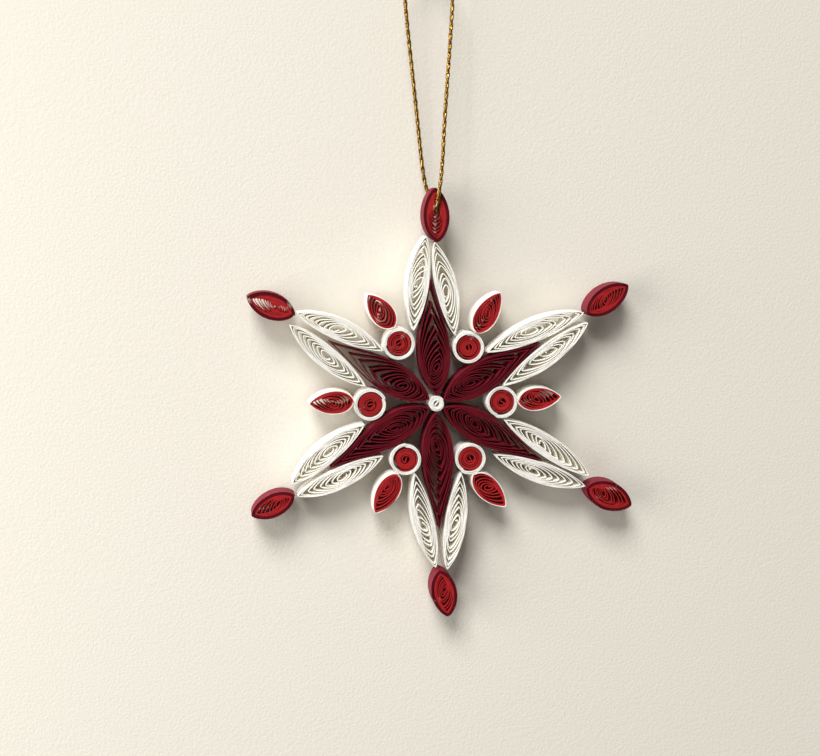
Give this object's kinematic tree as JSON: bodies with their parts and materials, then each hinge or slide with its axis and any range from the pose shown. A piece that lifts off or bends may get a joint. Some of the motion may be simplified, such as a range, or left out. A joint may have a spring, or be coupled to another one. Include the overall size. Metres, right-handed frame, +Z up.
{
  "type": "quilled paper snowflake",
  "caption": "Flat six-armed snowflake of coiled paper strips glued edge to edge: petals, leaves, round coils and eyes about a tight bead, hung on a loop of gold cord.",
  "frame": {"origin": "middle of the paper flake's box, close to the centre bead and halfway through the strip's width", "axes": "+Z up along the arm that carries the cord, +Y from the front of the flake to its back, +X to the right seen from the front"},
  "size_m": [0.0894, 0.0074, 0.1601],
  "materials": {
    "burgundy_paper": "matte burgundy quilling paper, darker at the cut edges",
    "red_paper": "matte red quilling paper",
    "white_paper": "matte warm white quilling paper, slightly translucent",
    "gold_cord": "twisted metallic gold yarn with bright glints"
  },
  "bodies": {
    "root": {"centre_bead": "white_paper", "petal_top": "burgundy_paper", "petal_upper_right": "burgundy_paper", "petal_lower_right": "burgundy_paper", "petal_bottom": "burgundy_paper", "petal_lower_left": "burgundy_paper", "petal_upper_left": "burgundy_paper", "leaf_top_anticlockwise": "white_paper", "leaf_top_clockwise": "white_paper", "leaf_upper_right_anticlockwise": "white_paper", "leaf_upper_right_clockwise": "white_paper", "leaf_lower_right_anticlockwise": "white_paper", "leaf_lower_right_clockwise": "white_paper", "leaf_bottom_anticlockwise": "white_paper", "leaf_bottom_clockwise": "white_paper", "leaf_lower_left_anticlockwise": "white_paper", "leaf_lower_left_clockwise": "white_paper", "leaf_upper_left_anticlockwise": "white_paper", "leaf_upper_left_clockwise": "white_paper", "tip_core_top": "red_paper", "tip_wrap_top": "burgundy_paper", "tip_core_upper_right": "red_paper", "tip_wrap_upper_right": "burgundy_paper", "tip_core_lower_right": "red_paper", "tip_wrap_lower_right": "burgundy_paper", "tip_core_bottom": "red_paper", "tip_wrap_bottom": "burgundy_paper", "tip_core_lower_left": "red_paper", "tip_wrap_lower_left": "burgundy_paper", "tip_core_upper_left": "red_paper", "tip_wrap_upper_left": "burgundy_paper", "disc_core_one_o_clock": "red_paper", "disc_rim_one_o_clock": "white_paper", "bud_core_one_o_clock": "red_paper", "bud_wrap_one_o_clock": "white_paper", "disc_core_three_o_clock": "red_paper", "disc_rim_three_o_clock": "white_paper", "bud_core_three_o_clock": "red_paper", "bud_wrap_three_o_clock": "white_paper", "disc_core_five_o_clock": "red_paper", "disc_rim_five_o_clock": "white_paper", "bud_core_five_o_clock": "red_paper", "bud_wrap_five_o_clock": "white_paper", "disc_core_seven_o_clock": "red_paper", "disc_rim_seven_o_clock": "white_paper", "bud_core_seven_o_clock": "red_paper", "bud_wrap_seven_o_clock": "white_paper", "disc_core_nine_o_clock": "red_paper", "disc_rim_nine_o_clock": "white_paper", "bud_core_nine_o_clock": "red_paper", "bud_wrap_nine_o_clock": "white_paper", "disc_core_eleven_o_clock": "red_paper", "disc_rim_eleven_o_clock": "white_paper", "bud_core_eleven_o_clock": "red_paper", "bud_wrap_eleven_o_clock": "white_paper", "hanging_cord": "gold_cord", "cord_knot": "gold_cord"}
  },
  "joints": []
}
